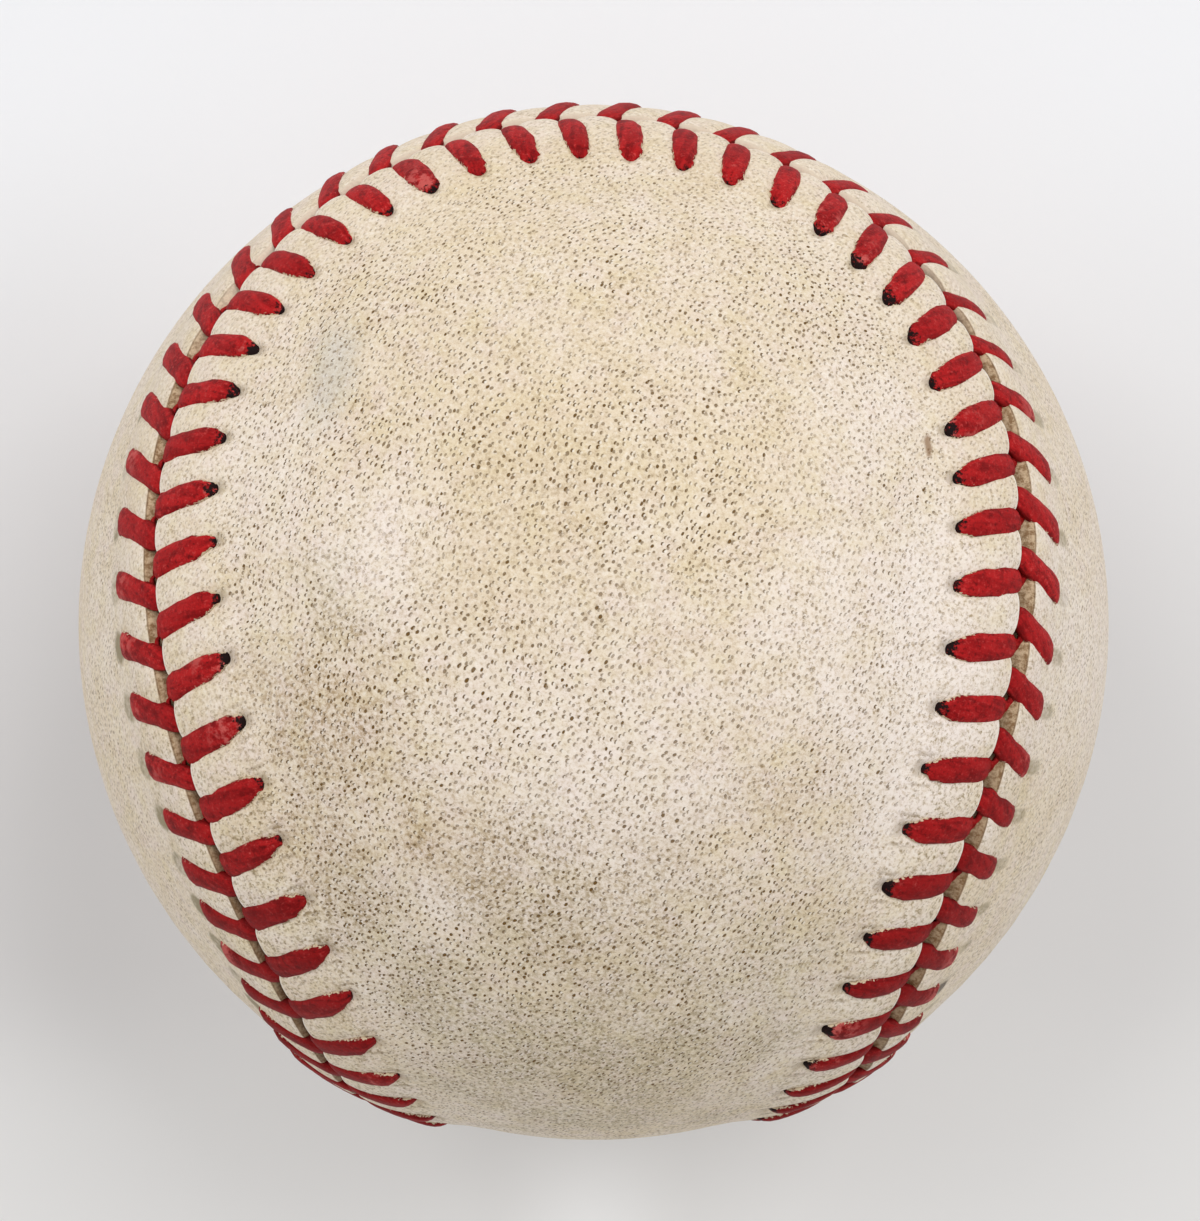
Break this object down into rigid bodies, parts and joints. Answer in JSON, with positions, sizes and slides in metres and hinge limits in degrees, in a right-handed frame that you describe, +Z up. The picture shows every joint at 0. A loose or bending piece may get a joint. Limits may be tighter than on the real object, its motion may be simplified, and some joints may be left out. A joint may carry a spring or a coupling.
{
  "type": "baseball",
  "caption": "Stitched leather ball: a cork and rubber core, wool and cotton windings, two figure-eight panels and a raised laced seam.",
  "frame": {"origin": "centre of the ball", "axes": "+Z up through the middle of a round end of the upright panel, +Y through the neck of the level panel, +X through a round end of the level panel"},
  "size_m": [0.0742, 0.0742, 0.0742],
  "materials": {
    "cork": "cork granules bound in rubber",
    "black_rubber": "moulded, matt",
    "red_rubber": "moulded, matt",
    "grey_wool": "tightly wound wool yarn",
    "white_wool": "tightly wound wool yarn",
    "cotton_yarn": "fine wound cotton yarn with rubber cement",
    "cowhide": "worn cream cowhide with open pores",
    "waxed_thread": "waxed red cotton thread"
  },
  "bodies": {
    "root": {"cork_core": "cork", "black_rubber_shell_upper": "black_rubber", "black_rubber_shell_lower": "black_rubber", "rubber_washer": "red_rubber", "red_rubber_cover_left": "red_rubber", "red_rubber_cover_right": "red_rubber", "grey_wool_four_ply": "grey_wool", "white_wool_three_ply": "white_wool", "grey_wool_three_ply": "grey_wool", "cotton_finishing_yarn": "cotton_yarn", "leather_panel_upright": "cowhide", "leather_panel_level": "cowhide", "lacing_strand_a": "waxed_thread", "lacing_strand_b": "waxed_thread"}
  },
  "joints": []
}
